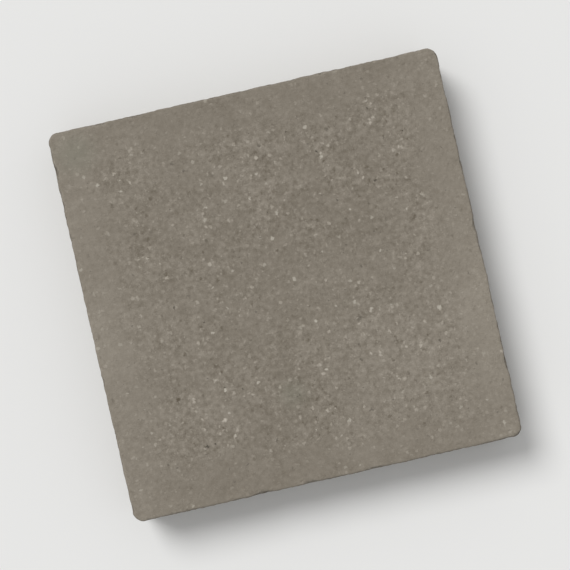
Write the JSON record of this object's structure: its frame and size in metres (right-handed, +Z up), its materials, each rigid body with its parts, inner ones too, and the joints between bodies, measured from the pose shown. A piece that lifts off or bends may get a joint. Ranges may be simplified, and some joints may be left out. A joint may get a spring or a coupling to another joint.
{
  "type": "concrete paving stone",
  "caption": "Square paving stone of pressed concrete with rounded corners and a small arris, laid side by side with narrow open joints to surface paths and terraces.",
  "frame": {"origin": "centre of the bed face, on the ground that the slab lies on", "axes": "+Z up through the slab's thickness to the walking face, +X and +Y along its two equal sides"},
  "size_m": [0.297, 0.297, 0.045],
  "materials": {
    "concrete": "matte"
  },
  "bodies": {
    "root": {"paving_slab": "concrete"}
  },
  "joints": []
}
